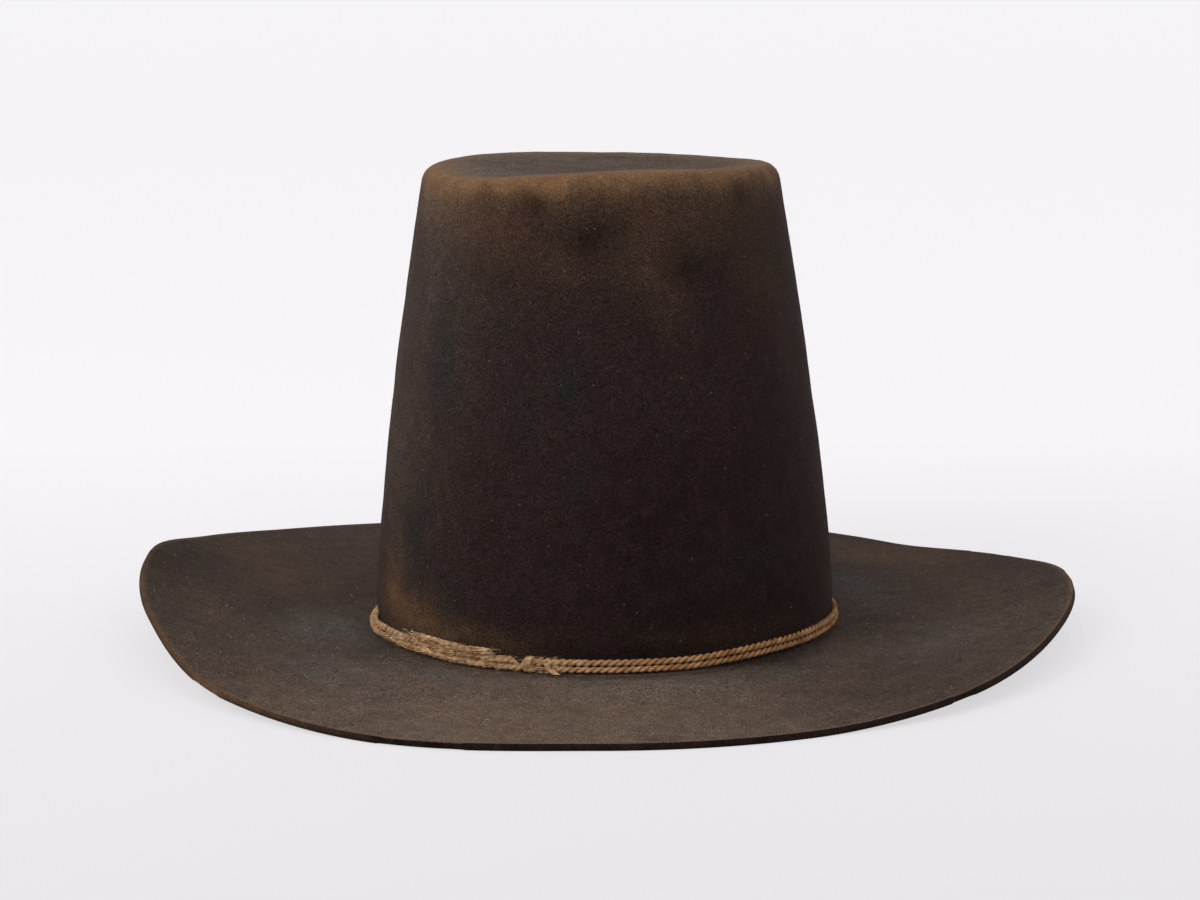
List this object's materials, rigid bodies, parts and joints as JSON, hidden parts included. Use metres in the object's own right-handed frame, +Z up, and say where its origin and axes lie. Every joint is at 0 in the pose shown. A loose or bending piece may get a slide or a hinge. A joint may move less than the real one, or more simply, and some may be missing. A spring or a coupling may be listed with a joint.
{
  "type": "wide-brim felt hat",
  "caption": "Tall tapered crown with a shallow dished top, a wide brim turned up at both sides, and a band of twisted cords round the foot of the crown.",
  "frame": {"origin": "on the floor under the middle of the brim's outline", "axes": "+Z up, -Y towards the side that faces the viewer in the picture, +X towards the viewer's right, where one raised side of the brim is"},
  "size_m": [0.3592, 0.3605, 0.178],
  "materials": {
    "felt": "worn dark brown felt, matt, rubbed lighter at the shoulder and on the brim",
    "cord": "tan twisted vegetable fibre, matt, fraying"
  },
  "bodies": {
    "root": {"felt_body": "felt", "lower_cord": "cord", "upper_cord": "cord", "hitch_loop": "cord", "cord_tail": "cord", "frayed_end": "cord"}
  },
  "joints": []
}
